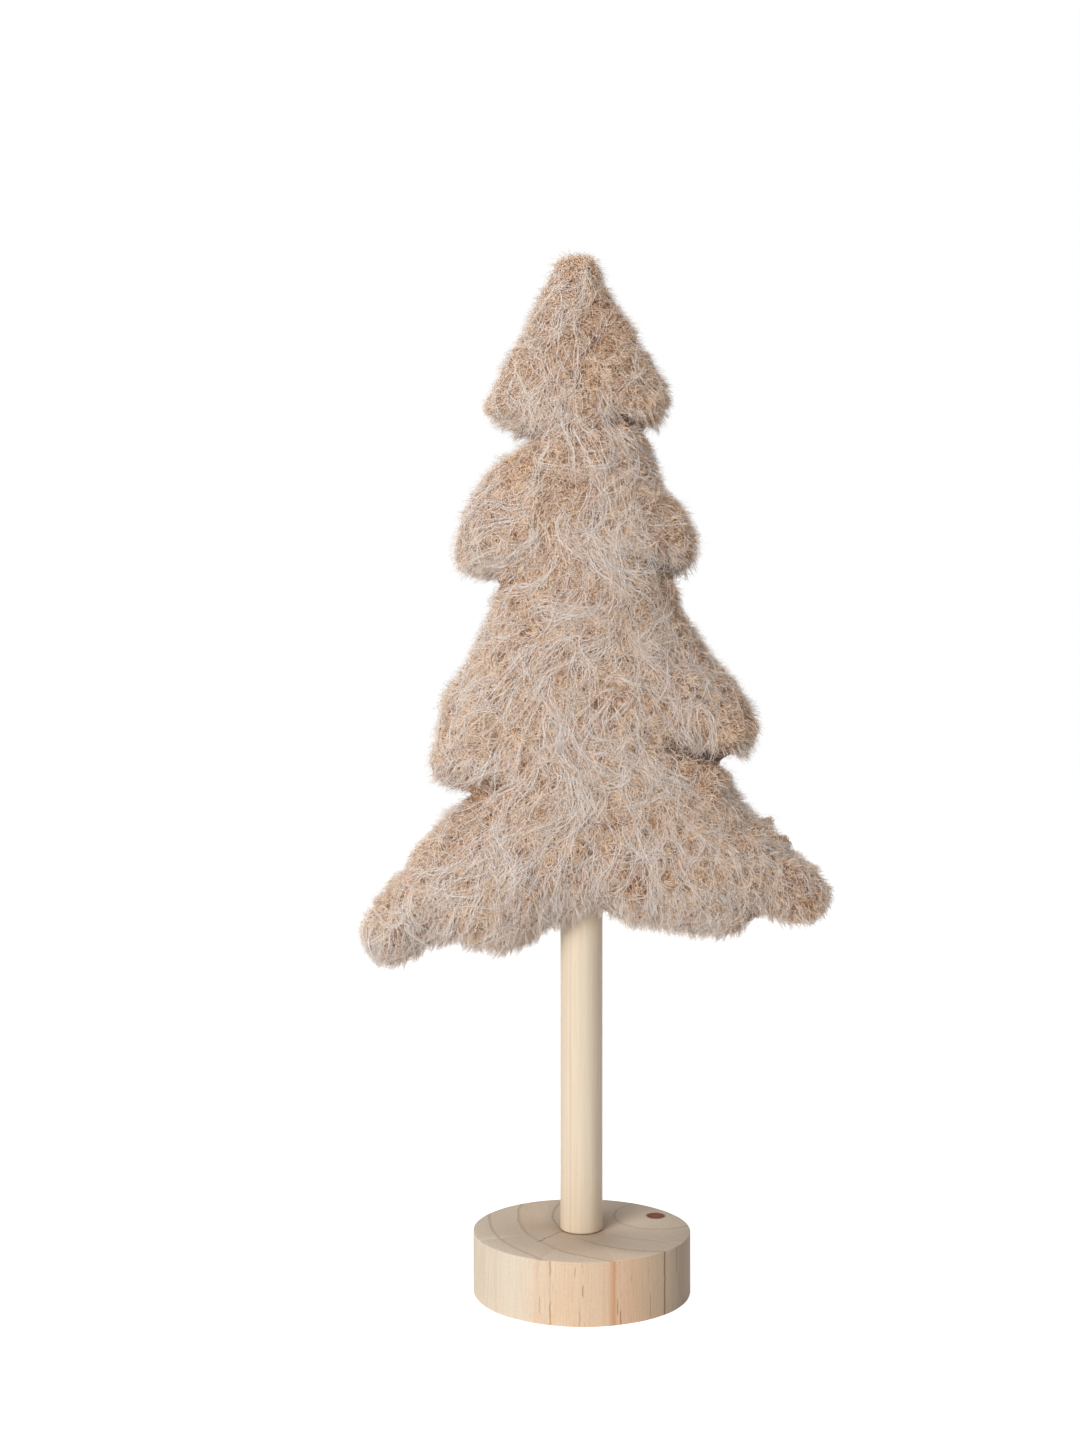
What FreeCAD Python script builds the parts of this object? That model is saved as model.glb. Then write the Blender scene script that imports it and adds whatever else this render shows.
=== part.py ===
import FreeCAD, Part
import math
import os

import Sketcher
from FreeCAD import Vector

# Plush christmas tree on a wooden stand, in millimetres.
# Origin: centre of the underside of the base disc. +Z is up, +Y points away from the viewer.
# A front and a back panel of pile fabric are sewn round one outline, which lies in the plane Y = 0,
# turned right side out, stuffed with wads of fibre and closed round the dowel that carries them.
# The dowel stands on a round slice of softwood and is held by a screw from below.

# Driving dimensions. Heights and reaches of the plush are measured from the middle of its hem.
SIZES = {
    # Base disc
    "base_diameter": 82,
    "base_thickness": 23,
    "base_edge_easing": 0.8,
    # Dowel
    "dowel_diameter": 16,
    "dowel_length": 300,
    "dowel_foot_easing": 0.9,
    "dowel_top_chamfer": 2.5,
    # Countersunk wood screw
    "screw_length": 45,
    "screw_shank_diameter": 4,
    "screw_head_diameter": 8,
    "screw_head_rim": 0.4,
    "screw_point_length": 5,
    "screw_sunk_depth": 0.6,
    "screw_slot_width": 1.1,
    "screw_slot_length": 4.6,
    "screw_slot_depth": 1.5,
    "screw_hole_clearance": 0.2,
    "screw_pilot_clearance": 0.02,
    "screw_pilot_spare": 2,
    # Plush fabric and filling
    "hem_height": 138,
    "fabric_thickness": 3,
    "filling_clearance": 0.3,
    "dowel_clearance": 0.2,
    # Top tier
    "tier_1_top": 252,
    "tier_1_drop": 65,
    "tier_1_left": 32.5,
    "tier_1_right": 31,
    "tier_1_depth": 17.5,
    # Second tier
    "tier_2_top": 198,
    "tier_2_drop": 68,
    "tier_2_left": 46.3,
    "tier_2_right": 41,
    "tier_2_depth": 21,
    # Third tier
    "tier_3_top": 146,
    "tier_3_drop": 94,
    "tier_3_left": 54.2,
    "tier_3_right": 64.7,
    "tier_3_depth": 24.5,
    # Bottom tier, down to the hem
    "tier_4_top": 68,
    "tier_4_drop": 65,
    "tier_4_left": 62,
    "tier_4_right": 82,
    "tier_4_depth": 26,
    # Drooping tip at the lower left
    "left_tip_root_out": -42,
    "left_tip_root_height": 22,
    "left_tip_end_out": -76,
    "left_tip_end_height": -10.5,
    "left_tip_half_width": 17,
    "left_tip_half_depth": 15,
    # Tip at the lower right
    "right_tip_root_out": 50,
    "right_tip_root_height": 28,
    "right_tip_end_out": 90,
    "right_tip_end_height": 10.5,
    "right_tip_half_width": 16,
    "right_tip_half_depth": 15,
    # Bulges of the hem, one each side of the dowel
    "left_hem_root_out": -33,
    "left_hem_root_height": 14,
    "left_hem_end_out": -35,
    "left_hem_end_height": -7.5,
    "left_hem_half_width": 23,
    "left_hem_half_depth": 20,
    "right_hem_root_out": 40,
    "right_hem_root_height": 14,
    "right_hem_end_out": 45,
    "right_hem_end_height": -2.5,
    "right_hem_half_width": 21,
    "right_hem_half_depth": 20,
}

document = FreeCAD.newDocument("plush_tree")
sheet = document.addObject("Spreadsheet::Sheet", "Sizes")
for row, (alias, value) in enumerate(SIZES.items(), start=1):
    sheet.set(f"A{row}", alias)
    sheet.set(f"B{row}", str(value))
    sheet.setAlias(f"B{row}", alias)
document.recompute()


def size(alias):
    """A driving dimension, read back from the sheet."""
    return float(sheet.get(alias))


def evaluated(expression):
    """The number that an expression in the sheet's sizes comes to."""
    return float(sheet.evalExpression(expression))


# Wooden stand

COUNTERSINK_ANGLE = 90
FULL_TURN = 360
QUARTER_TURN = 90
CROSSING_SLOTS = 2
SAME = 1e-6


def new_body(name):
    body = document.addObject("PartDesign::Body", name)
    body.Label = name
    return body


def sketch_on(body, name, role):
    """A sketch on one of the body's own origin planes."""
    sketch = body.newObject("Sketcher::SketchObject", name)
    plane = next(feature for feature in body.Origin.OriginFeatures if feature.Role == role)
    sketch.AttachmentSupport = [(plane, "")]
    sketch.MapMode = "FlatFace"
    return sketch


def circle_sketch(body, name, diameter):
    """A circle about the body's axis. diameter is an expression."""
    sketch = sketch_on(body, name, "XY_Plane")
    wide = evaluated(diameter)
    circle = sketch.addGeometry(Part.Circle(Vector(0, 0, 0), Vector(0, 0, 1), wide / 2))
    sketch.addConstraint(Sketcher.Constraint("Coincident", circle, 3, -1, 1))
    number = sketch.addConstraint(Sketcher.Constraint("Diameter", circle, wide))
    sketch.setExpression(f"Constraints[{number}]", diameter)
    return sketch


def place_corner(sketch, line, kind, expression, axis):
    """Holds the start of a line at an expression's distance from the origin, or on the axis at 0."""
    if expression == "0":
        sketch.addConstraint(Sketcher.Constraint("PointOnObject", line, 1, axis))
        return
    distance = Sketcher.Constraint(kind, -1, 1, line, 1, evaluated(expression))
    number = sketch.addConstraint(distance)
    sketch.setExpression(f"Constraints[{number}]", expression)


def outline_sketch(body, name, role, corners):
    """A closed outline of straight lines. Each corner is a pair of expressions, and "0" is on an axis."""
    sketch = sketch_on(body, name, role)
    places = [Vector(evaluated(across), evaluated(up), 0) for across, up in corners]
    lines = [
        sketch.addGeometry(Part.LineSegment(start, end))
        for start, end in zip(places, places[1:] + places[:1])
    ]
    for line, after in zip(lines, lines[1:] + lines[:1]):
        sketch.addConstraint(Sketcher.Constraint("Coincident", line, 2, after, 1))
    for line, (across, up) in zip(lines, corners):
        place_corner(sketch, line, "DistanceX", across, -2)
        place_corner(sketch, line, "DistanceY", up, -1)
    return sketch


def pad(body, name, profile, length):
    feature = body.newObject("PartDesign::Pad", name)
    feature.Profile = profile
    feature.setExpression("Length", length)
    document.recompute()
    return feature


def pocket_up(body, name, profile, length):
    """A pocket that cuts upwards from the sketch."""
    feature = body.newObject("PartDesign::Pocket", name)
    feature.Profile = profile
    feature.Reversed = True
    feature.setExpression("Length", length)
    document.recompute()
    return feature


def round_edges(base, diameter, height=None):
    """Names of the base's circular edges of this diameter, at this height where one is given."""
    return [
        f"Edge{number}"
        for number, edge in enumerate(base.Shape.Edges, start=1)
        if isinstance(edge.Curve, Part.Circle)
        and math.isclose(2 * edge.Curve.Radius, diameter, rel_tol=SAME)
        and (height is None or math.isclose(edge.Curve.Center.z, height, abs_tol=SAME))
    ]


def chamfered(body, name, base, edges, width):
    feature = body.newObject("PartDesign::Chamfer", name)
    feature.Base = (base, edges)
    feature.setExpression("Size", width)
    document.recompute()
    return feature


def make_base_disc():
    body = new_body("base_disc")
    outline = circle_sketch(body, "disc_outline", "Sizes.base_diameter")
    slab = pad(body, "disc_pad", outline, "Sizes.base_thickness")
    rims = round_edges(slab, size("base_diameter"))
    eased = chamfered(body, "disc_easing", slab, rims, "Sizes.base_edge_easing")
    hole_diameter = "Sizes.screw_shank_diameter + 2 * Sizes.screw_hole_clearance"
    sunk_diameter = "Sizes.screw_head_diameter + 2 * (Sizes.screw_sunk_depth + Sizes.screw_head_rim)"
    place = circle_sketch(body, "screw_hole_place", hole_diameter)
    hole = body.newObject("PartDesign::Hole", "screw_hole")
    hole.Profile = place
    hole.Reversed = True
    hole.DepthType = "ThroughAll"
    hole.setExpression("Diameter", hole_diameter)
    hole.HoleCutType = "Countersink"
    hole.HoleCutCountersinkAngle = COUNTERSINK_ANGLE
    hole.setExpression("HoleCutDiameter", sunk_diameter)
    document.recompute()
    print("screw hole takes", round(eased.Shape.Volume - hole.Shape.Volume, 1), "cubic mm from the disc")
    return body


def make_dowel():
    body = new_body("dowel")
    outline = circle_sketch(body, "rod_outline", "Sizes.dowel_diameter")
    rod = pad(body, "rod_pad", outline, "Sizes.dowel_length")
    foot_edge = round_edges(rod, size("dowel_diameter"), 0)
    foot = chamfered(body, "foot_easing", rod, foot_edge, "Sizes.dowel_foot_easing")
    top_edge = round_edges(foot, size("dowel_diameter"), size("dowel_length"))
    top = chamfered(body, "top_chamfer", foot, top_edge, "Sizes.dowel_top_chamfer")
    pilot_diameter = "Sizes.screw_shank_diameter + 2 * Sizes.screw_pilot_clearance"
    pilot_outline = circle_sketch(body, "pilot_outline", pilot_diameter)
    screw_in_dowel = "Sizes.screw_sunk_depth + Sizes.screw_length - Sizes.base_thickness"
    pilot = pocket_up(body, "pilot_hole", pilot_outline, f"{screw_in_dowel} + Sizes.screw_pilot_spare")
    print("pilot hole takes", round(top.Shape.Volume - pilot.Shape.Volume, 1), "cubic mm from the dowel")
    body.setExpression("Placement.Base.z", "Sizes.base_thickness")
    return body


def make_base_screw():
    """The screw, head down, drawn from the underside of its head."""
    body = new_body("base_screw")
    head = "Sizes.screw_head_diameter / 2"
    shank = "Sizes.screw_shank_diameter / 2"
    corners = [
        ("0", "0"),
        (head, "0"),
        (head, "Sizes.screw_head_rim"),
        (shank, f"Sizes.screw_head_rim + {head} - {shank}"),
        (shank, "Sizes.screw_length - Sizes.screw_point_length"),
        ("0", "Sizes.screw_length"),
    ]
    outline = outline_sketch(body, "screw_outline", "XZ_Plane", corners)
    turned = body.newObject("PartDesign::Revolution", "screw_turned")
    turned.Profile = outline
    turned.ReferenceAxis = (outline, ["V_Axis"])
    turned.Angle = FULL_TURN
    document.recompute()
    across = "Sizes.screw_slot_width / 2"
    along = "Sizes.screw_slot_length / 2"
    slot_corners = [
        (f"-{along}", f"-{across}"),
        (along, f"-{across}"),
        (along, across),
        (f"-{along}", across),
    ]
    slot_outline = outline_sketch(body, "slot_outline", "XY_Plane", slot_corners)
    slot = pocket_up(body, "slot", slot_outline, "Sizes.screw_slot_depth")
    cross = body.newObject("PartDesign::PolarPattern", "cross_recess")
    cross.Originals = [slot]
    cross.Axis = (outline, ["V_Axis"])
    cross.Angle = QUARTER_TURN
    cross.Occurrences = CROSSING_SLOTS
    body.Tip = cross
    document.recompute()
    print("recess takes", round(turned.Shape.Volume - cross.Shape.Volume, 2), "cubic mm from the screw")
    body.setExpression("Placement.Base.z", "Sizes.screw_sunk_depth")
    return body


# Plush. A section is a lens of two arcs, front and back, that meet in the seam.

# One row for each section of a tier, from the top down: shares of the tier's drop, of its left and
# right reach and of its half depth.
TIER_SHARES = {
    1: [
        (0.00, 0.14, 0.02, 0.13),
        (0.05, 0.25, 0.13, 0.28),
        (0.14, 0.34, 0.21, 0.43),
        (0.25, 0.43, 0.37, 0.57),
        (0.37, 0.54, 0.52, 0.69),
        (0.51, 0.68, 0.66, 0.82),
        (0.65, 0.85, 0.84, 0.93),
        (0.82, 0.98, 1.00, 1.00),
        (0.92, 1.00, 0.93, 0.90),
        (0.98, 0.86, 0.82, 0.66),
        (1.00, 0.72, 0.72, 0.44),
    ],
    2: [
        (0.00, 0.35, 0.41, 0.62),
        (0.11, 0.39, 0.50, 0.73),
        (0.22, 0.46, 0.57, 0.81),
        (0.41, 0.70, 0.65, 0.91),
        (0.59, 0.86, 0.85, 0.98),
        (0.78, 1.00, 1.00, 1.00),
        (0.90, 0.98, 0.98, 0.88),
        (0.97, 0.84, 0.90, 0.64),
        (1.00, 0.66, 0.80, 0.40),
    ],
    3: [
        (0.00, 0.44, 0.40, 0.65),
        (0.11, 0.50, 0.46, 0.73),
        (0.21, 0.57, 0.52, 0.80),
        (0.30, 0.62, 0.58, 0.86),
        (0.38, 0.66, 0.64, 0.90),
        (0.48, 0.76, 0.73, 0.95),
        (0.57, 0.87, 0.83, 0.98),
        (0.77, 0.97, 1.00, 1.00),
        (0.86, 0.99, 0.95, 0.94),
        (0.93, 1.00, 0.77, 0.78),
        (0.98, 0.88, 0.69, 0.54),
        (1.00, 0.76, 0.62, 0.34),
    ],
    4: [
        (0.00, 0.53, 0.44, 0.70),
        (0.13, 0.60, 0.55, 0.79),
        (0.25, 0.68, 0.66, 0.87),
        (0.41, 0.81, 0.83, 0.96),
        (0.54, 0.93, 0.93, 1.00),
        (0.72, 1.00, 1.00, 1.00),
        (0.88, 1.00, 0.98, 0.85),
        (0.97, 0.94, 0.91, 0.54),
        (1.00, 0.84, 0.83, 0.31),
    ],
}

# One row for each section of a tip or bulge, from its root to its end: shares of its length and
# of both its half width and its half depth.
LIMB_SHARES = [(0.00, 1.00), (0.30, 0.92), (0.60, 0.81), (0.80, 0.69), (0.92, 0.54), (1.00, 0.32)]

LIMBS = ["left_tip", "right_tip", "left_hem", "right_hem"]

# The two panels meet in a sharp edge, so a wall of even thickness is wider there
SEAM_WALL_SHARE = 1.5

# Straight runs along each face of a section of the filling
FILLING_CHORDS = 4


def tier_sections(number):
    """Centre, direction across, half width and half depth of each section of a tier."""
    top, drop, left, right, depth = (
        size(f"tier_{number}_{name}") for name in ("top", "drop", "left", "right", "depth")
    )
    across = Vector(1, 0, 0)
    for drop_share, left_share, right_share, depth_share in TIER_SHARES[number]:
        start = -left_share * left
        end = right_share * right
        middle = Vector((start + end) / 2, 0, top - drop_share * drop)
        yield middle, across, (end - start) / 2, depth_share * depth


def limb_sections(name):
    """The same for a tip or bulge, square to the line from its root to its end."""
    root = Vector(size(f"{name}_root_out"), 0, size(f"{name}_root_height"))
    end = Vector(size(f"{name}_end_out"), 0, size(f"{name}_end_height"))
    across = Vector(0, 1, 0).cross(end - root).normalize()
    for length_share, share in LIMB_SHARES:
        half_width = share * size(f"{name}_half_width")
        half_depth = share * size(f"{name}_half_depth")
        yield root + (end - root) * length_share, across, half_width, half_depth


SECTIONS = {f"tier_{number}": list(tier_sections(number)) for number in TIER_SHARES}
SECTIONS.update({name: list(limb_sections(name)) for name in LIMBS})


def lens_points(middle, across, half_width, half_depth, chords):
    """Points round a lens, chords to each of its two arcs, from one end of the seam."""
    radius = (half_width**2 + half_depth**2) / (2 * half_depth)
    half_angle = math.atan2(half_width, radius - half_depth)
    points = []
    for side in (-1, 1):
        for step in range(chords):
            angle = half_angle * (2 * step / chords - 1)
            out = -side * radius * math.sin(angle)
            deep = side * (radius * math.cos(angle) - radius + half_depth)
            points.append(middle + across * out + Vector(0, deep, 0))
    return points


def rounded_form(sections):
    """A form of two curved faces, through a lens at each section."""
    wires = []
    for section in sections:
        right_end, front, left_end, back = lens_points(*section, 2)
        arcs = [Part.Arc(right_end, front, left_end), Part.Arc(left_end, back, right_end)]
        wires.append(Part.Wire([arc.toShape() for arc in arcs]))
    return Part.makeLoft(wires, True, True)


def faceted_form(sections, inset):
    """The form inside a wall of thickness inset, with flat faces."""
    side_inset = SEAM_WALL_SHARE * inset
    inside = [
        (middle, across, half_width - side_inset, half_depth - inset)
        for middle, across, half_width, half_depth in sections
        if half_depth > 2 * inset and half_width > side_inset + inset
    ]
    along = (inside[-1][0] - inside[0][0]).normalize()
    inside[0] = (inside[0][0] + along * inset, *inside[0][1:])
    inside[-1] = (inside[-1][0] - along * inset, *inside[-1][1:])
    rings = [lens_points(*section, FILLING_CHORDS) for section in inside]
    corners = range(len(rings[0]))
    triangles = []
    for ring, below in zip(rings, rings[1:]):
        for corner in corners:
            after = (corner + 1) % len(corners)
            triangles.append((ring[corner], ring[after], below[after]))
            triangles.append((ring[corner], below[after], below[corner]))
    outlines = triangles + [rings[0], rings[-1]]
    faces = [Part.Face(Part.makePolygon([*outline, outline[0]])) for outline in outlines]
    return Part.Solid(Part.makeShell(faces))


def fused(forms):
    return forms[0].multiFuse(forms[1:])


def make_soft_piece(name, shape):
    """A sewn or stuffed piece, carried at the height of the hem."""
    piece = document.addObject("Part::Feature", name)
    piece.Label = name
    piece.Shape = shape
    piece.setExpression("Placement.Base.z", "Sizes.hem_height")
    return piece


def dowel_room():
    """The space that the dowel and its clearance take out of the plush."""
    radius = size("dowel_diameter") / 2 + size("dowel_clearance")
    height = size("base_thickness") + size("dowel_length") + size("dowel_clearance")
    return Part.makeCylinder(radius, height, Vector(0, 0, -size("hem_height")))


def half_space(box, side):
    """All of a bounding box, and more, on one side of the seam plane."""
    reach = box.DiagonalLength
    corner = Vector(-reach, min(side, 0) * reach, box.ZMin - reach)
    return Part.makeBox(2 * reach, reach, 2 * reach + box.ZLength, corner)


def make_panels():
    cover = fused([rounded_form(sections) for sections in SECTIONS.values()])
    cavity = fused([faceted_form(sections, size("fabric_thickness")) for sections in SECTIONS.values()])
    shell = cover.cut(cavity).cut(dowel_room())
    return [
        make_soft_piece(name, shell.common(half_space(cover.BoundBox, side)).Solids[0])
        for name, side in (("front_panel", -1), ("back_panel", 1))
    ]


FILLING_NAMES = {
    "tier_4": "bottom_tier_filling",
    "tier_3": "third_tier_filling",
    "tier_2": "second_tier_filling",
    "tier_1": "top_tier_filling",
    "left_tip": "left_tip_filling",
    "right_tip": "right_tip_filling",
    "left_hem": "left_hem_filling",
    "right_hem": "right_hem_filling",
}


def make_filling():
    """One wad of fibre for each tier, tip and bulge. Each is cut by the larger ones before it."""
    inset = size("fabric_thickness") + size("filling_clearance")
    taken = [dowel_room()]
    pieces = []
    for name, label in FILLING_NAMES.items():
        wad = faceted_form(SECTIONS[name], inset)
        pieces.append(make_soft_piece(label, wad.cut(taken)))
        taken.append(wad)
    return pieces


def failed(thing):
    return "Invalid" in thing.State or "Error" in thing.State


pieces = [make_base_disc(), make_dowel(), make_base_screw(), *make_panels(), *make_filling()]
document.recompute()

broken = [thing.Label for thing in document.Objects if failed(thing)]
broken += [piece.Label for piece in pieces if piece.Shape.isNull() or not piece.Shape.isValid()]
if broken:
    raise RuntimeError(f"these did not build: {broken}")

os.makedirs("parts", exist_ok=True)
for piece in pieces:
    piece.Shape.exportStep(f"parts/{piece.Label}.step")
    print(piece.Label, len(piece.Shape.Solids), round(piece.Shape.Volume))
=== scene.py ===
import math

import bpy
import numpy as np
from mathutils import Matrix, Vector
from mathutils.bvhtree import BVHTree
from mathutils.kdtree import KDTree
from mathutils.noise import noise


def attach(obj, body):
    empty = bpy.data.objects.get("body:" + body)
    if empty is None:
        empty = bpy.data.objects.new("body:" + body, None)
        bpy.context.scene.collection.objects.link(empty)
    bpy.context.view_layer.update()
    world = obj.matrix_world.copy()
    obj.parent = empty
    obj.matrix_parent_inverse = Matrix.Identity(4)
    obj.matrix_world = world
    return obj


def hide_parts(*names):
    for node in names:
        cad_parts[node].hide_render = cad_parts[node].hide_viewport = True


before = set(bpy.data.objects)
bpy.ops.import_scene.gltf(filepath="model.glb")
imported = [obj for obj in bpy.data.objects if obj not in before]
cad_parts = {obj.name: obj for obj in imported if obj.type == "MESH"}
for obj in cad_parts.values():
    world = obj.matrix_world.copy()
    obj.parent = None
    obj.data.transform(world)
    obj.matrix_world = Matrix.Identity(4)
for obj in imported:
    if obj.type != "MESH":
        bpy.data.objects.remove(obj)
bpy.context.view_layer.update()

# Plush christmas tree on a wooden stand, in metres, in the frame of the CAD model. The named sizes and
# the tables are in millimetres.
MM = 0.001
rng = np.random.default_rng(24)

HEM_HEIGHT = 138
DOWEL_RADIUS = 8
DOWEL_TOP = 323
DOWEL_EASING = 0.9
BASE_RADIUS = 41
BASE_THICKNESS = 23
BASE_EASING = 0.3
SCREW_HOLE_RADIUS = 2.2
COUNTERSINK_RADIUS = 5.0
COUNTERSINK_DEPTH = 2.8


# Camera at the height of the middle of the photograph, level, a little to the left of the dowel

def make_camera():
    data = bpy.data.cameras.new("camera")
    data.sensor_width = 36
    data.lens = 43.5
    data.clip_start = 0.01
    data.clip_end = 20
    camera = bpy.data.objects.new("camera", data)
    camera.location = Vector((-15.7, -658, 216)) * MM
    camera.rotation_euler = (math.radians(90), 0, 0)
    bpy.context.scene.collection.objects.link(camera)
    bpy.context.scene.camera = camera


make_camera()


# Helpers

def link(name, mesh):
    piece = bpy.data.objects.new(name, mesh)
    bpy.context.scene.collection.objects.link(piece)
    return piece


def mesh_of(name, points, faces):
    mesh = bpy.data.meshes.new(name)
    mesh.from_pydata([tuple(point) for point in points], [], [tuple(face) for face in faces])
    mesh.shade_smooth()
    return mesh


def unit(vectors):
    return vectors / np.maximum(np.linalg.norm(vectors, axis=-1, keepdims=True), 1e-9)


def toward(degrees):
    """The direction in the plane of the tree, anticlockwise from +X as seen from the front."""
    return np.array([math.cos(math.radians(degrees)), 0, math.sin(math.radians(degrees))])


def from_front(points):
    """X and height over the hem of each point, in millimetres."""
    return points[:, [0, 2]] / MM - [0, HEM_HEIGHT]


def set_all(owner, settings):
    for label, value in settings.items():
        setattr(owner, label, value)


class Nodes:
    """Short calls for the nodes of a material or a world. Inputs are numbers, colours or sockets."""

    def __init__(self, owner):
        owner.use_nodes = True
        self.owner = owner
        self.tree = owner.node_tree
        self.shader = self.tree.nodes.get("Principled BSDF")

    def put(self, socket, value):
        if isinstance(value, bpy.types.NodeSocket):
            self.tree.links.new(value, socket)
        else:
            socket.default_value = (*value, 1) if socket.type == "RGBA" else value

    def make(self, kind, inputs=None, **settings):
        node = self.tree.nodes.new(kind)
        set_all(node, settings)
        for place, value in (inputs or {}).items():
            self.put(node.inputs[place], value)
        return node

    def maths(self, operation, first, second=0.0, third=0.0):
        return self.make("ShaderNodeMath", {0: first, 1: second, 2: third}, operation=operation).outputs[0]

    def mapped(self, vector, place=(0, 0, 0), turn=(0, 0, 0), scale=(1, 1, 1)):
        inputs = {"Vector": vector, "Location": place, "Rotation": turn, "Scale": scale}
        return self.make("ShaderNodeMapping", inputs).outputs[0]

    def millimetres(self):
        """The place on the piece, in millimetres."""
        return self.mapped(self.make("ShaderNodeTexCoord").outputs["Object"], scale=(1 / MM, 1 / MM, 1 / MM))

    def axis(self, vector, label):
        """The vector's part along X, Y or Z."""
        return self.make("ShaderNodeSeparateXYZ", {0: vector}).outputs[label]

    def length(self, vector):
        return self.make("ShaderNodeVectorMath", {0: vector}, operation="LENGTH").outputs["Value"]

    def noise(self, vector, scale, detail, roughness=0.5):
        inputs = {"Vector": vector, "Scale": scale, "Detail": detail, "Roughness": roughness}
        return self.make("ShaderNodeTexNoise", inputs).outputs["Fac"]

    def stretched(self, vector, scale, detail, roughness=0.5):
        """Noise with a scale for each axis."""
        return self.noise(self.mapped(vector, scale=scale), 1.0, detail, roughness)

    def ramp(self, value, stops):
        """Colours, or grey levels, at places from 0 to 1."""
        node = self.make("ShaderNodeValToRGB", {"Fac": value})
        elements = node.color_ramp.elements
        while len(elements) < len(stops):
            elements.new(0.5)
        for element, (place, colour) in zip(elements, stops):
            element.position = place
            element.color = (*colour, 1) if isinstance(colour, tuple) else (colour, colour, colour, 1)
        return node.outputs["Color"]

    def mix(self, share, first, second, blend="MIX"):
        inputs = {0: share, 6: first, 7: second}
        return self.make("ShaderNodeMix", inputs, data_type="RGBA", blend_type=blend).outputs[2]

    def times(self, first, second):
        return self.mix(1.0, first, second, "MULTIPLY")

    def shade(self, label, value):
        self.put(self.shader.inputs[label], value)

    def bump(self, height, strength, distance):
        inputs = {"Height": height, "Strength": strength, "Distance": distance}
        self.shade("Normal", self.make("ShaderNodeBump", inputs).outputs[0])


# Where the pile ends, seen from the front: X and height over the hem, from the top down the left side,
# along the hem and up the right side
OUTLINE = [
    (-2.2, 255), (-5.6, 253.5), (-8.4, 250.3), (-11.5, 244.5), (-15.3, 237.5), (-20, 228), (-23.8, 219),
    (-30, 210), (-33, 204), (-34.8, 199), (-37.6, 195), (-36, 191.8), (-28.5, 188.8), (-22, 186),
    (-19.5, 182.8), (-29.5, 176.7), (-35, 170.7), (-39.3, 164.6), (-42.2, 158.6), (-46, 152), (-48.7, 144),
    (-47.2, 138), (-45, 134.8), (-40, 132.4), (-33.2, 130.6), (-34.3, 126), (-33.2, 119), (-38, 110.2),
    (-42.8, 101), (-45.2, 95.5), (-51.4, 89.5), (-53.3, 81), (-54.8, 73), (-55.8, 66), (-58.4, 60),
    (-55.8, 55.5), (-49, 52.3), (-43, 49.6), (-48.5, 44), (-53, 40), (-60, 31.5), (-66.8, 22.4), (-71, 16.2),
    (-75, 13), (-79.5, 7), (-83.3, 2), (-82.5, -4), (-81.3, -8.5), (-79, -12.4), (-74, -15), (-68, -14.2),
    (-62, -10.8), (-57, -7.5), (-50, -5), (-46, -5.3), (-40, -8), (-34, -9.6), (-25, -8.4), (-18, -4.6),
    (-13, -1.8), (-8, 1.8), (-3, 4), (3, 6.2), (7.5, 7.2), (11, 5.6), (15, 3.2), (20, 1.6), (30, 0), (41, -2),
    (50, -4), (59, -2.2), (65, 1), (69, 4), (75, 1.6), (80, 0.1), (87.2, 1.4), (91.4, 5.2), (94.5, 10),
    (94.4, 14), (91.6, 17.6), (88.5, 21.9), (84, 25.5), (77.8, 29.6), (74.2, 34), (68.2, 39.7), (61.2, 45.2),
    (58.2, 49.8), (56.5, 54), (55.6, 59), (57, 62.4), (61.4, 66.3), (66, 69), (67.3, 74), (65.5, 80.5),
    (63.5, 84), (59, 89.7), (56.3, 93.5), (49, 101.5), (43, 110.3), (39, 116), (36.4, 121), (36.4, 126.5),
    (37.6, 131.3), (41.2, 134.4), (44, 138.3), (44, 144), (41.2, 152.5), (36.6, 158.6), (31.3, 163.4),
    (29.6, 166.4), (28.9, 170.7), (26.8, 176.7), (25.9, 182.8), (27.2, 186), (29, 189), (29.3, 192),
    (31.8, 195), (33.6, 199), (32.3, 204), (28.8, 210), (23, 217), (20.8, 222), (17.4, 228.3), (13.3, 234),
    (10.6, 237.5), (7.0, 243), (6.8, 246), (4.8, 250.5), (1.8, 254.5),
]
PILE_DEPTH = 3.4
# Half depth that the stuffing reaches at these heights over the hem
FULLNESS = [
    (-15, 15), (20, 26), (40, 26), (66, 24), (85, 24.5), (120, 22.5), (150, 21), (185, 18.5), (205, 17.5), (252, 12)]
# Folds that run inwards from each notch: notch, inner end, depth, half width
CREASES = [
    ((-24, 183), (-8, 186), 5.0, 4.5), ((30, 185.5), (8, 191), 10.0, 3.8),
    ((-36, 127), (-16, 132), 5.0, 4.5), ((42, 131), (22, 136), 11.0, 4.0),
    ((-45, 49), (-22, 56), 6.0, 5.0), ((60, 60.5), (30, 69), 13.0, 4.2),
    ((-57, 4), (-44, 16), 2.5, 5.0), ((-13, -2), (-10, 10), 3.0, 6.0), ((68, 3), (54, 14), 4.0, 5.0),
]
# Firm round knobs of curled pile on the right flank: X and height over the hem of their foot on the
# cover, direction in degrees, rise, radius
ROUND_KNOBS = [(68.1, 35.6, 47, 6.4, 2.5), (74.9, 29.3, 50, 7.0, 2.9)]

# Grid for the form: spacing, and the corners of the box round the outline
GRID = 1.25
LOW = np.array([-88.0, -22.0])
HIGH = np.array([100.0, 260.0])
SETTLING_ROUNDS = 2600


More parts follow.
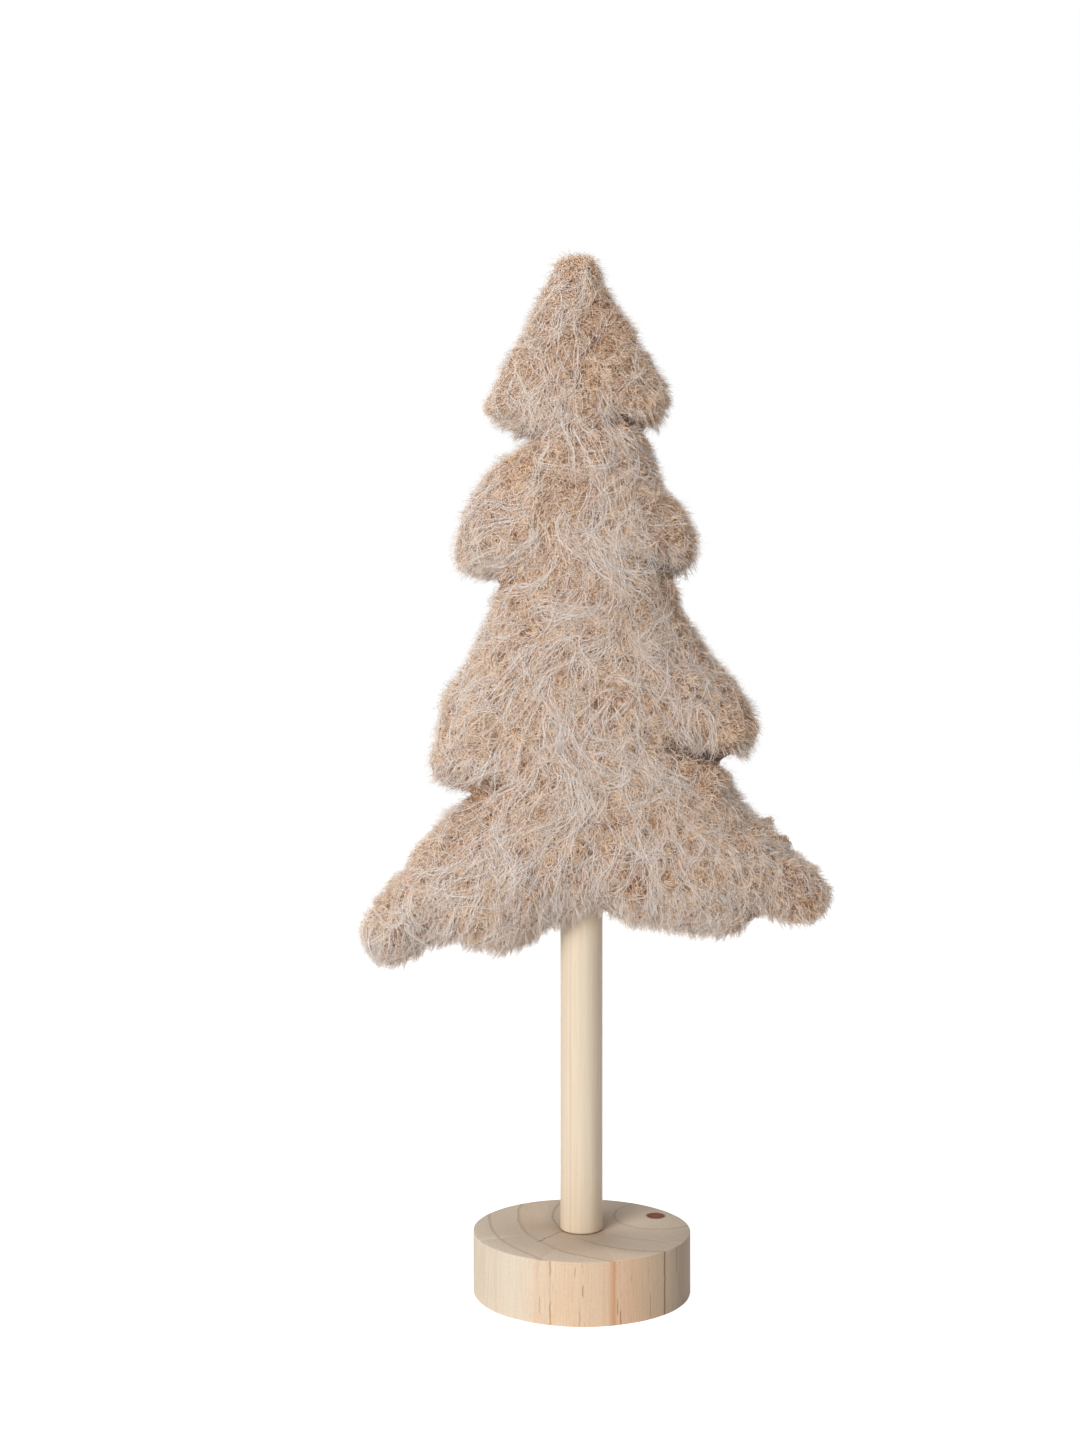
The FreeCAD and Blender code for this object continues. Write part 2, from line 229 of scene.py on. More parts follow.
def inside(polygon, points):
    x, z = points[..., 0], points[..., 1]
    found = np.zeros(x.shape, bool)
    for (x0, z0), (x1, z1) in zip(polygon, np.roll(polygon, -1, axis=0)):
        if z0 == z1:
            continue
        found ^= ((z0 > z) != (z1 > z)) & (x < (x1 - x0) * (z - z0) / (z1 - z0) + x0)
    return found


def beside(points, start, end, lowest=0):
    """For each point, how far along the line from start to end it is, from lowest to 1, and how far away."""
    run = end - start
    along = np.clip(((points - start) @ run) / (run @ run), lowest, 1)
    return along, np.linalg.norm(points - (start + along[..., None] * run), axis=-1)


def distance(polygon, points):
    """Distance of each point from the polygon's line."""
    return np.minimum.reduce([beside(points, *ends)[1] for ends in zip(polygon, np.roll(polygon, -1, axis=0))])


def make_membrane():
    """A grid over the cover, which of its points are covered, and a membrane over them."""
    xs = np.arange(LOW[0], HIGH[0], GRID)
    zs = np.arange(LOW[1], HIGH[1], GRID)
    points = np.stack(np.meshgrid(xs, zs, indexing="ij"), -1)
    polygon = np.array(OUTLINE)
    mask = inside(polygon, points) & (distance(polygon, points) > PILE_DEPTH)
    # under even pressure and held at the outline
    height = np.zeros(mask.shape)
    for _ in range(SETTLING_ROUNDS):
        around = sum(np.roll(height, step, axis) for axis in (0, 1) for step in (1, -1))
        height = (around + 1) / 4 * mask
    return xs, zs, points, mask, height


def creased(points):
    """Each crease's depth, and how near each point is to it, from 0 to 1."""
    for start, end, deep, wide in CREASES:
        along, away = beside(points, np.array(start, float), np.array(end, float), -0.5)
        yield deep, np.clip(1.45 - 1.2 * along, 0, 1) * np.exp(-((away / wide) ** 2))


def make_form():
    """The grid, which of its points are covered, and the half depth of the plush at each."""
    xs, zs, points, mask, membrane = make_membrane()
    fullest = np.maximum(membrane.max(axis=0), 1)
    fullest = np.convolve(np.pad(fullest, 12, mode="edge"), np.ones(25) / 25, "valid")
    limit = np.interp(zs, *zip(*FULLNESS))
    depth = limit[None, :] * np.minimum(1.25, (membrane / fullest[None, :])) ** 0.36
    for deep, near in creased(points):
        depth -= deep * near * (depth > 0)
    return xs, zs, mask, np.maximum(depth, 0.4)


def make_shell(xs, zs, mask, depth):
    """The front and back faces over every covered grid cell, joined round the outline."""
    number = np.full(mask.shape, -1)
    number[mask] = np.arange(mask.sum())
    places = np.argwhere(mask)
    flat = np.stack([xs[places[:, 0]], zs[places[:, 1]] + HEM_HEIGHT], -1)
    front = np.stack([flat[:, 0], -depth[mask], flat[:, 1]], -1)
    back = front * [1, -1, 1]
    corners = np.stack([number[:-1, :-1], number[1:, :-1], number[1:, 1:], number[:-1, 1:]], -1)
    cells = corners[(corners >= 0).all(-1)]
    total = len(front)
    faces = [tuple(cell) for cell in cells] + [tuple(cell[::-1] + total) for cell in cells]
    edges = dict.fromkeys((int(start), int(end)) for cell in cells for start, end in zip(cell, np.roll(cell, -1)))
    faces += [(end, start, start + total, end + total) for start, end in edges if (end, start) not in edges]
    return mesh_of("plush_shell", np.concatenate([front, back]) * MM, faces)


def applied(piece):
    graph = bpy.context.evaluated_depsgraph_get()
    mesh = bpy.data.meshes.new_from_object(piece.evaluated_get(graph))
    piece.modifiers.clear()
    piece.data = mesh


def modified(piece, kind, **settings):
    modifier = piece.modifiers.new(kind.lower(), kind)
    set_all(modifier, settings)
    applied(piece)


def evened(piece, voxel):
    """Gives the piece an even mesh with cells of this size, and smooths it."""
    modified(piece, "REMESH", mode="VOXEL", voxel_size=voxel * MM, adaptivity=0)
    modified(piece, "SMOOTH", factor=0.5, iterations=2)


def at_vertices(mesh, label):
    """Each vertex's co or normal."""
    rows = np.empty(len(mesh.vertices) * 3)
    mesh.vertices.foreach_get(label, rows)
    return rows.reshape(-1, 3)


def move_vertices(mesh, points):
    mesh.vertices.foreach_set("co", points.ravel())
    mesh.update()


# The simulated stuffing: cloth settings, half width of the held seam, frames, longest move
STUFFING = {
    "quality": 6, "mass": 0.15, "tension_stiffness": 12, "compression_stiffness": 12, "shear_stiffness": 4,
    "bending_stiffness": 0.3, "use_pressure": True, "uniform_pressure_force": 4}
SEAM_REACH = 7
FRAMES = 20
MOST_BILLOW = 6


def stuffed(piece):
    """Fills the sewn cover: it billows under pressure while its seam is held. Gives the longest move."""
    start = at_vertices(piece.data, "co")
    seam = piece.vertex_groups.new(name="seam")
    for index, point in enumerate(start):
        hold = max(0.0, 1 - abs(point[1]) / (SEAM_REACH * MM))
        if hold > 0:
            seam.add([index], hold ** 0.5, "REPLACE")
    cloth = piece.modifiers.new("cloth", "CLOTH")
    set_all(cloth.settings, STUFFING)
    cloth.settings.vertex_group_mass = seam.name
    cloth.settings.effector_weights.gravity = 0
    cloth.collision_settings.use_collision = False
    scene = bpy.context.scene
    scene.frame_start = 1
    scene.frame_end = FRAMES
    cloth.point_cache.frame_start = 1
    cloth.point_cache.frame_end = FRAMES
    for frame_number in range(1, FRAMES + 1):
        scene.frame_set(frame_number)
    applied(piece)
    scene.frame_set(1)
    moved = at_vertices(piece.data, "co") - start
    far = np.linalg.norm(moved, axis=1, keepdims=True)
    move_vertices(piece.data, start + moved * np.minimum(1, MOST_BILLOW * MM / np.maximum(far, 1e-9)))
    piece.vertex_groups.clear()
    return float(far.max())


def noise_at(points, scale, shift=0.0):
    """Smooth noise from -1 to 1 at each point. scale is the size of its lumps in millimetres."""
    return np.array([noise(Vector(point)) for point in points / (scale * MM) + shift])


def knobs_at(points):
    """Each round knob's direction, rise and radius, and the way from its foot to each point."""
    for x, height, degrees, far, radius in ROUND_KNOBS:
        yield toward(degrees), far, radius, points / MM - [x, 0, height + HEM_HEIGHT]


def on_knob(points):
    """How near each point of the cover is to the axis of a round knob, from 0 to 1."""
    nearness = np.zeros(len(points))
    for outward, far, radius, out in knobs_at(points):
        away = np.linalg.norm(out - np.clip(out @ outward, 0, far)[:, None] * outward, axis=1)
        nearness = np.maximum(nearness, np.exp(-((away / (radius + 0.8)) ** 4)))
    return nearness


def patched(points, patches):
    """The sum of soft round patches at each point, seen from the front."""
    flat = from_front(points)
    return sum(more * np.exp(-(((flat - [x, height]) ** 2).sum(1) / radius**2)) for x, height, radius, more in patches)


# Swellings of the front: X, height over the hem, radius, rise
BULGES = [(24, 194, 5.5, 3.4), (53, 71, 6.5, 2.2), (-30, 143, 6, 1.5)]
# Size of the low lumps all over the cover, and where in the noise they lie
LUMP_SIZE = 7
LUMP_SHIFT = 12.7


def lumpy(piece):
    """Low lumps all over, the swellings of the front and the round knobs, under the curls of the pile."""
    points, normals = at_vertices(piece.data, "co"), at_vertices(piece.data, "normal")
    raised = 1.8 * noise_at(points, LUMP_SIZE, LUMP_SHIFT) + 0.7 * noise_at(points, LUMP_SIZE / 2, 2.2)
    raised += patched(points, BULGES) * np.clip(-normals[:, 1], 0, 1)
    rise = normals * raised[:, None]
    knobs = 0
    for outward, far, radius, out in knobs_at(points):
        knobs = knobs + outward * far * np.exp(-((np.linalg.norm(out, axis=1) / radius) ** 4))[:, None]
    move_vertices(piece.data, points + (rise + knobs) * MM)


COARSE_VOXEL = 2.4
FINE_VOXEL = 1.4
cover = link("plush_cover", make_shell(*make_form()))
evened(cover, COARSE_VOXEL)
print("the stuffing moved the cover by up to", round(stuffed(cover) / MM, 1), "mm")
evened(cover, FINE_VOXEL)
lumpy(cover)
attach(cover, "root")
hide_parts("front_panel", "back_panel", "top_tier_filling", "second_tier_filling", "third_tier_filling",
            "bottom_tier_filling", "left_tip_filling", "right_tip_filling", "left_hem_filling", "right_hem_filling")


def plain(name, colour, roughness):
    nodes = Nodes(bpy.data.materials.new(name))
    nodes.shade("Base Color", colour)
    nodes.shade("Roughness", roughness)
    return nodes.owner


def set_material(piece, material):
    piece.data.materials.clear()
    piece.data.materials.append(material)


def backing_cloth():
    """Napped knit under the pile: mottled, with short fibre clots."""
    cloth = Nodes(bpy.data.materials.new("pile_backing"))
    millimetres = cloth.millimetres()
    mottle = cloth.noise(millimetres, 0.16, 3)
    nap = cloth.noise(millimetres, 1.6, 4, 0.7)
    clots = cloth.make("ShaderNodeTexVoronoi", {"Vector": millimetres, "Scale": 0.9}).outputs["Distance"]
    tone = cloth.ramp(mottle, [(0.3, (0.6, 0.36, 0.22)), (0.7, (0.8, 0.55, 0.38))])
    napped = cloth.times(tone, cloth.ramp(nap, [(0.3, 0.8), (0.7, 1.0)]))
    cloth.shade("Base Color", napped)
    cloth.shade("Roughness", 0.92)
    cloth.shade("Sheen Weight", 0.2)
    cloth.bump(cloth.maths("ADD", nap, clots), 0.5, 0.0006)
    return cloth.owner


set_material(cover, backing_cloth())

# Pile

def surface(piece):
    """Corner points and corner normals of the piece's triangles."""
    mesh = piece.data
    mesh.calc_loop_triangles()
    triangles = np.empty(len(mesh.loop_triangles) * 3, int)
    mesh.loop_triangles.foreach_get("vertices", triangles)
    triangles = triangles.reshape(-1, 3)
    return at_vertices(mesh, "co")[triangles], at_vertices(mesh, "normal")[triangles]


def areas_of(corners):
    return np.linalg.norm(np.cross(corners[:, 1] - corners[:, 0], corners[:, 2] - corners[:, 0]), axis=1) / 2


def scattered(corners, normals, count):
    """Points spread evenly at random over the triangles, and the normal at each."""
    areas = areas_of(corners)
    picked = np.searchsorted(np.cumsum(areas) / areas.sum(), rng.random(count))
    first, second = rng.random((2, count))
    over = first + second > 1
    first[over], second[over] = 1 - first[over], 1 - second[over]
    weights = np.stack([1 - first - second, first, second], -1)[..., None]
    return (corners[picked] * weights).sum(1), unit((normals[picked] * weights).sum(1))


# How the hairs lie, seen from the front: X, height over the hem, direction in degrees, with 270
# straight down
LAY = [
    (-4, 244, 270), (-20, 224, 245), (0, 213, 270), (17, 220, 290), (-24, 199, 235), (-4, 195, 255),
    (23, 199, 300), (6, 187, 320), (21, 185, 325), (-16, 185, 215), (-31, 168, 225), (-39, 150, 240),
    (-10, 162, 260), (9, 158, 275), (31, 158, 300), (23, 146, 285), (-24, 133, 190), (-4, 136, 345),
    (23, 131, 345), (31, 125, 200), (0, 121, 195), (-24, 112, 215), (-39, 94, 230), (-47, 73, 235),
    (-20, 90, 245), (-2, 84, 265), (23, 100, 275), (29, 75, 268), (48, 94, 310), (56, 75, 300), (-45, 53, 205),
    (39, 63, 335), (52, 53, 315), (23, 57, 285), (-55, 32, 225), (-76, 12, 235), (-76, -7, 255), (-31, 32, 240),
    (-10, 32, 255), (10, 32, 268), (35, 32, 275), (62, 32, 315), (85, 12, 295), (52, 7, 265), (-35, -1, 255),
    (10, 5, 270),
]
# How far round it each of these directions holds
LAY_REACH = 11


def flow(points, normals, wander=1.0):
    """The direction in which the hairs lie on the surface."""
    lay = np.array(LAY, float)
    gaps = ((from_front(points)[:, None, :] - lay[None, :, :2]) ** 2).sum(-1)
    weights = np.exp(-(gaps - gaps.min(1, keepdims=True)) / (2 * LAY_REACH**2))
    angles = np.radians(lay[:, 2])
    down = np.zeros_like(points)
    down[:, 0], down[:, 2] = weights @ np.cos(angles), weights @ np.sin(angles)
    along = unit(unit(down) - normals * (unit(down) * normals).sum(1, keepdims=True) + 1e-6)
    turn = wander * (0.5 * noise_at(points, 24) + 0.4 * noise_at(points, 9, 7.3))
    return turned(along, normals, turn)


def furrow(points):
    """How deep in a crease each point is, from 0 to 1."""
    return np.clip(sum(deep / 8 * near for deep, near in creased(from_front(points))), 0, 1)


def turned(vectors, axes, angles):
    """The vectors turned about the axes that they stand square to."""
    cos, sin = np.cos(angles)[..., None], np.sin(angles)[..., None]
    return unit(vectors * cos + np.cross(axes, vectors) * sin)


def nearest(centres, points):
    """The nearest centre's number and distance for each point."""
    tree = KDTree(len(centres))
    for index, centre in enumerate(centres):
        tree.insert(centre, index)
    tree.balance()
    _, indices, gaps = zip(*(tree.find(point) for point in points))
    return np.array(indices), np.array(gaps)


def ribbons(name, lines, sides, widths, tints):
    """One mesh of thin ribbons along the lines, with a material for each run."""
    count, knots = lines.shape[:2]
    half = sides * widths[..., None] / 2
    points = np.stack([lines - half, lines + half], 2).reshape(-1, 3)
    first = (np.arange(count)[:, None] * knots + np.arange(knots - 1)) * 2
    corners = np.stack([first, first + 1, first + 3, first + 2], -1).reshape(-1)
    mesh = bpy.data.meshes.new(name)
    mesh.vertices.add(len(points))
    mesh.vertices.foreach_set("co", points.ravel())
    mesh.loops.add(len(corners))
    mesh.loops.foreach_set("vertex_index", corners)
    mesh.polygons.add(len(corners) // 4)
    mesh.polygons.foreach_set("loop_start", np.arange(0, len(corners), 4))
    for material in fur_materials:
        mesh.materials.append(material)
    mesh.polygons.foreach_set("material_index", tints.reshape(-1))
    mesh.update(calc_edges=True)
    mesh.shade_smooth()
    piece = link(name, mesh)
    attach(piece, "root")


MOST_RUNS = 95000


def in_bands(name, lines, sides, widths, tints):
    """The ribbons in pieces of at most MOST_RUNS runs, front and back, from the top down."""
    front = lines[:, 0, 1] < 0
    for label, chosen in (("front", front), ("back", ~front)):
        order = np.nonzero(chosen)[0]
        order = order[np.argsort(-lines[order, 0, 2], kind="stable")]
        bands = max(1, math.ceil(len(order) * (lines.shape[1] - 1) / MOST_RUNS))
        for number, rows in enumerate(np.array_split(order, bands), start=1):
            ribbons(f"{label}_{name}_{number}", lines[rows], sides[rows], widths[rows], tints[rows])


# The first and darkest pile tint is painted shade, used only for strands deep in a crease
PILE_TINTS = [
    (0.3, 0.19, 0.13), (0.57, 0.32, 0.175), (0.73, 0.455, 0.275), (0.86, 0.59, 0.39), (0.93, 0.69, 0.485),
    (0.98, 0.78, 0.59)]
HAIR_TINTS = [(0.86, 0.7, 0.59), (0.92, 0.81, 0.73), (0.97, 0.93, 0.89)]
fur_materials = [
    *(plain(f"pile_tint_{number}", colour, 0.75) for number, colour in enumerate(PILE_TINTS, start=1)),
    *(plain(f"guard_hair_tint_{number}", colour, 0.6) for number, colour in enumerate(HAIR_TINTS, start=1)),
]

# Share of the strands that are grown. Fewer strands are wider.
DENSITY = 1.0
corners, corner_normals = surface(cover)
area = areas_of(corners).sum() / MM**2

# Pointed tufts of pile that stand out of the outline: X, height over the hem, direction in degrees, length
POINTED_TUFTS = [
    (85, 20.6, 18, 6.8), (-33, 194.5, 190, 6.5), (-31.5, 197, 180, 7), (-31, 192, 196, 6), (22, 214, 30, 6),
    (30, 199, 350, 6), (-50, 90, 150, 4.5), (-52, 86, 170, 4), (-39, 164, 140, 6), (13, 233, 30, 5),
    (-70, 14, 140, 5), (58, 88, 20, 5),
]
POINTED_REACH = 2.4
# Where the pile is paler or darker than the rest, partly painted light on the bulging lobes that catch the light: X,
# height over the hem, radius, more
PAINTED_LIGHT_AND_TONE_PATCHES = [
    (24, 194, 7, 0.5), (27, 205, 7, 0.2), (10, 199.5, 4, -0.25), (19.5, 204, 4.5, -0.2), (6, 222, 8, -0.15),
    (35, 149, 9, 0.22), (55, 75, 11, 0.2), (-2, 248, 12, 0.12), (-22, 205, 12, 0.1), (-70, 0, 15, 0.3),
]
TUFT_AREA = 11
TUFT_REACH = 2.6
PILE_PER_AREA = 4.2
PILE_LENGTH = 5.2
PILE_WIDTH = 0.25


def pointed(lines, t):
    """The strands, with those near a pointed tuft drawn together to its point."""
    for x, height, degrees, reach in POINTED_TUFTS:
        place = np.array([x, 0, height + HEM_HEIGHT]) * MM
        near = np.exp(-((np.linalg.norm(lines[:, 0] - place, axis=1) / (POINTED_REACH * MM)) ** 2))[:, None, None]
        tip = place + toward(degrees) * reach * MM
        lines = lines + (tip - lines) * near * 0.75 * t**1.2
    return lines


def sides_of(lines, facing):
    """The direction across each ribbon, when its face looks along facing."""
    return unit(np.cross(unit(np.gradient(lines, axis=1)), facing))


def tapered(width, loss, t, count):
    """The width along each hair, which loses this share of it from root to tip."""
    return width * MM * (1 - loss * t[..., 0]) * rng.uniform(0.7, 1.2, (count, 1)) / DENSITY**0.5


def hair_tints(count, knots, shares):
    """One of the hair tints for all runs of each hair."""
    return len(PILE_TINTS) + np.repeat(rng.choice(3, count, p=shares)[:, None], knots - 1, axis=1)


def grow_pile():
    """Short pile in curled tufts, with some strands astray."""
    tuft_count = int(area / TUFT_AREA)
    tufts, tuft_normals = scattered(corners, corner_normals, tuft_count)
    tuft_lean = turned(flow(tufts, tuft_normals), tuft_normals, rng.normal(0, 0.9, tuft_count))
    tuft_tone_and_shade = rng.normal(0, 0.07, tuft_count) + 0.34 * noise_at(tufts, 6, 3.1) + 0.08 * noise_at(tufts, 25, 9.4)
    # Painted light and shade: the pile is paler on the crests of the low lumps and darker in their hollows
    tuft_tone_and_shade += 0.34 * noise_at(tufts, LUMP_SIZE, LUMP_SHIFT)
    # Painted shade: the pile darkens in the creases
    tuft_tone_and_shade -= 0.6 * furrow(tufts)
    tuft_tone_and_shade += patched(tufts, PAINTED_LIGHT_AND_TONE_PATCHES)
    tuft_phase = rng.uniform(0, 2 * math.pi, tuft_count)
    tuft_winding = rng.choice([-1, 1], tuft_count) * rng.uniform(0.45, 0.95, tuft_count)
    tuft_curl = rng.uniform(0.6, 1.25, tuft_count)
    count = int(area * PILE_PER_AREA * DENSITY)
    roots, normals = scattered(corners, corner_normals, count)
    owner, away = nearest(tufts, roots)
    inner = np.clip(1 - away / (TUFT_REACH * MM), 0, 1)
    stray = rng.random(count) < 0.5
    phase = tuft_phase[owner] + rng.normal(0, 0.8, count)
    phase[stray] = rng.uniform(0, 2 * math.pi, stray.sum())
    knots = 6
    t = np.linspace(0, 1, knots)[None, :, None]
    short = (1 - 0.72 * furrow(roots)) * (1 - 0.75 * on_knob(roots))
    length = (PILE_LENGTH * MM * rng.uniform(0.75, 1.15, count) * (0.72 + 0.4 * inner) * short)[:, None, None]
    own_lean = turned(tuft_lean[owner], normals, rng.normal(0, 1, count) * np.where(stray, 1.3, 0.45))
    own_lean = unit(own_lean - normals * (own_lean * normals).sum(1, keepdims=True))
    across = np.cross(normals, own_lean)
    upright = (1 - 0.9 * np.clip(furrow(roots) / 0.3, 0, 1))[:, None, None]
    curl = (tuft_curl[owner] * MM * rng.uniform(0.75, 1.2, count))[:, None, None]
    phase = phase[:, None, None]
    winding = (tuft_winding[owner] * 2 * math.pi)[:, None, None]
    rise = 0.66 * (1 - (1 - t) ** 1.8)
    lines = (
        roots[:, None, :]
        + normals[:, None, :] * length * rise
        + own_lean[:, None, :] * length * 0.45 * upright * t**1.5
        + own_lean[:, None, :] * curl * (np.cos(phase + winding * t) - np.cos(phase)) * t**0.5
        + across[:, None, :] * curl * (np.sin(phase + winding * t) - np.sin(phase)) * t**0.5
    )
    gather = (tufts[owner] - roots)[:, None, :]
    lines = lines + gather * 0.34 * t**1.3
    lines = pointed(lines, t)
    lump = unit(roots - tufts[owner]) * (away / (TUFT_REACH * MM))[:, None]
    facing = unit(normals[:, None, :] + 0.35 * lump[:, None, :] + 0.35 * rng.normal(0, 1, (count, 1, 3)))
    widths = PILE_WIDTH * MM * (1 - 0.5 * t[..., 0] ** 1.5) * rng.uniform(0.8, 1.2, (count, 1)) / DENSITY**0.5
    tone = 0.3 * inner[:, None] + 0.56 * t[:, 1:, 0] + 0.01 + tuft_tone_and_shade[owner][:, None]
    tone += rng.normal(0, 0.3, (count, 1))
    # Painted light: the pile is paler where the surface faces sideways, round the outline
    tone += 0.3 * (1 - np.abs(normals[:, 1:2])) ** 3
    # Painted shade: strands deep in a crease may take the darkest tint
    tone = np.maximum(tone, 0.01 - 0.5 * (furrow(roots) > 0.3)[:, None])
    tints = np.clip(np.floor(tone * 5).astype(int) + 1, 0, 5)
    in_bands("pile", lines, sides_of(lines, facing), widths, tints)


# Where the long hairs lie thick or thin: X, height over the hem, radius, more or less
HAIR_PATCHES = [
    (47, 52, 8, 1.5), (29, 70, 6, 1.0), (34, 66, 5, 1.0), (9, 146, 5, 1.0), (14, 130, 9, 0.7),
    (33, 127, 7, 1.2), (-14, 118, 14, 0.5), (42, 100, 9, 0.7), (-12, 195, 12, 0.5), (-62, 20, 12, 0.6),
    (30, 30, 12, 0.5), (22, 182, 6, 1.2), (57, 51, 7, 1.5), (63, 42, 6, 0.9), (24, 200, 9, -1.3),
    (35, 149, 9, -0.9), (56, 77, 12, -1.2), (84, 12, 10, -0.4), (9, 98, 13, -0.5), (-36, 147, 8, -0.4),
    (14, 226, 9, -0.6), (-50, 78, 7, -0.4), (0, 251, 9, 0.4), (0, 218, 28, -0.4), (-70, 4, 16, 0.8),
    (0, 160, 24, -0.3), (-33, 168, 8, 0.8), (-41, 104, 12, 0.8), (-50, 38, 9, 0.7), (-25, 222, 12, 0.8),
    (-30, 205, 10, 0.6), (-14, 240, 9, 0.6),
]


def hairy(points):
    """How thick the long hairs lie at each point, round about 0."""
    return 0.7 * noise_at(points, 16, 5.1) + patched(points, HAIR_PATCHES)


def trails(count, knots, shortest, longest, swirl, bare):
    """Curved lines over the surface: their points, normals and directions. None start where the hair lies
    thinner than bare."""
    starts, normals = scattered(corners, corner_normals, count)
    kept = (hairy(starts) > bare + rng.normal(0, 0.2, count)) & (furrow(starts) < 0.35) & (on_knob(starts) < 0.2)
    starts, normals = starts[kept], normals[kept]
    count = len(starts)
    direction = turned(flow(starts, normals), normals, rng.normal(0, 0.35, count))
    step = (rng.uniform(shortest, longest, count) * MM / (knots - 1))[:, None]
    bend, sway = rng.normal(0, swirl, (2, count))
    here, normal = starts, normals
    path = [(here, normal, direction)]
    for knot in range(1, knots):
        ahead = here + direction * step
        feet, feet_normals, _, _ = zip(*(cover_tree.find_nearest(point) for point in ahead))
        normal = unit(0.6 * normal + 0.4 * np.array(feet_normals))
        here = 0.8 * np.array(feet) + 0.2 * ahead
        direction = unit(0.8 * direction + 0.2 * flow(here, normal))
        direction = unit(direction - normal * (direction * normal).sum(1, keepdims=True))
        direction = turned(direction, normal, bend + sway * math.cos(math.pi * knot / knots))
        path.append((here, normal, direction))
    return (np.stack(rows, 1) for rows in zip(*path))


cover_tree = BVHTree.FromPolygons(
    [Vector(point) for point in corners.reshape(-1, 3)],
    [(first, first + 1, first + 2) for first in range(0, len(corners) * 3, 3)])


def grow_hair(share, fewest, most, shortest, longest, swirl, spread, bare, width):
    """Wisps of long pale hairs that lie over the pile, with this share of wisps on each square millimetre
    and from fewest to most hairs in each."""
    knots = 9
    path, path_normals, path_along = trails(int(area * share * DENSITY), knots, shortest, longest, swirl, bare)
    lock_count = len(path)
    owner = np.repeat(np.arange(lock_count), rng.integers(fewest, most + 1, lock_count))
    count = len(owner)
    t = np.linspace(0, 1, knots)[None, :, None]
    across = np.cross(path_normals, path_along)
    wide = rng.uniform(0.6, 1.5, lock_count)
    tight = rng.uniform(0.15, 0.6, lock_count)
    opens = rng.random(lock_count) < 0.4
    first, last = np.where(opens, tight, wide), np.where(opens, wide, tight)
    aside = (rng.normal(0, spread, count) * MM)[:, None, None]
    fan = first[owner][:, None, None] * (1 - t) + last[owner][:, None, None] * t
    slip = (rng.uniform(-5, 5, count) * MM)[:, None, None]
    stray = (rng.normal(0, 1.6, count) * MM)[:, None, None]
    wave = rng.uniform(0, 2 * math.pi, count)[:, None, None]
    flat = 1 - 0.4 * (1 - np.abs(path_normals[owner][..., 1:2]))
    lift = (rng.uniform(2.6, 4.4, count) * MM)[:, None, None] * flat
    lines = (
        path[owner]
        + across[owner] * (aside * fan + stray * t**2 + 0.5 * MM * np.sin(wave + 9 * t))
        + path_along[owner] * slip
        + path_normals[owner] * lift * (0.35 + 0.85 * np.sin(math.pi * (0.12 + 0.66 * t)))
    )
    facing = unit(path_normals[owner] + 0.35 * rng.normal(0, 1, (count, 1, 3)))
    widths = tapered(width, 0.6, t, count)
    return lines, sides_of(lines, facing), widths, hair_tints(count, knots, [0.25, 0.4, 0.35])


def grow_rim(share, shortest, longest, width):
    """Fine pale hairs that stand out round the edge of the plush, one by one."""
    knots = 5
    count = int(area * share * DENSITY)
    roots, normals = scattered(corners, corner_normals, count)
    sideways = (1 - np.abs(normals[:, 1])) * (1 - 0.8 * np.clip(-normals[:, 2], 0, 1))
    kept = (rng.random(count) < 1.5 * sideways**3.5) & (furrow(roots) < 0.4) & (on_knob(roots) < 0.2)
    roots, normals = roots[kept], normals[kept]
    count = len(roots)
    lean = turned(flow(roots, normals, 0.7), normals, rng.normal(0, 0.7, count))
    across = np.cross(normals, lean)
    t = np.linspace(0, 1, knots)[None, :, None]
    length = (rng.uniform(shortest, longest, count) * MM)[:, None, None]
    slant, curve = rng.uniform(0.2, 1.0, (count, 1, 1)), rng.normal(0, 0.25, (count, 1, 1))
    lines = (
        roots[:, None, :]
        + normals[:, None, :] * length * (0.95 * t - 0.12 * t**2)
        + lean[:, None, :] * length * slant * t**1.4
        + across[:, None, :] * length * curve * t**2
    )
    lines = pointed(lines, t)
    facing = unit(np.array([0.0, 1.0, 0.0]) + 0.4 * rng.normal(0, 1, (count, 1, 3)))
    widths = tapered(width, 0.55, t, count)
    return lines, sides_of(lines, facing), widths, hair_tints(count, knots, [0.2, 0.4, 0.4])


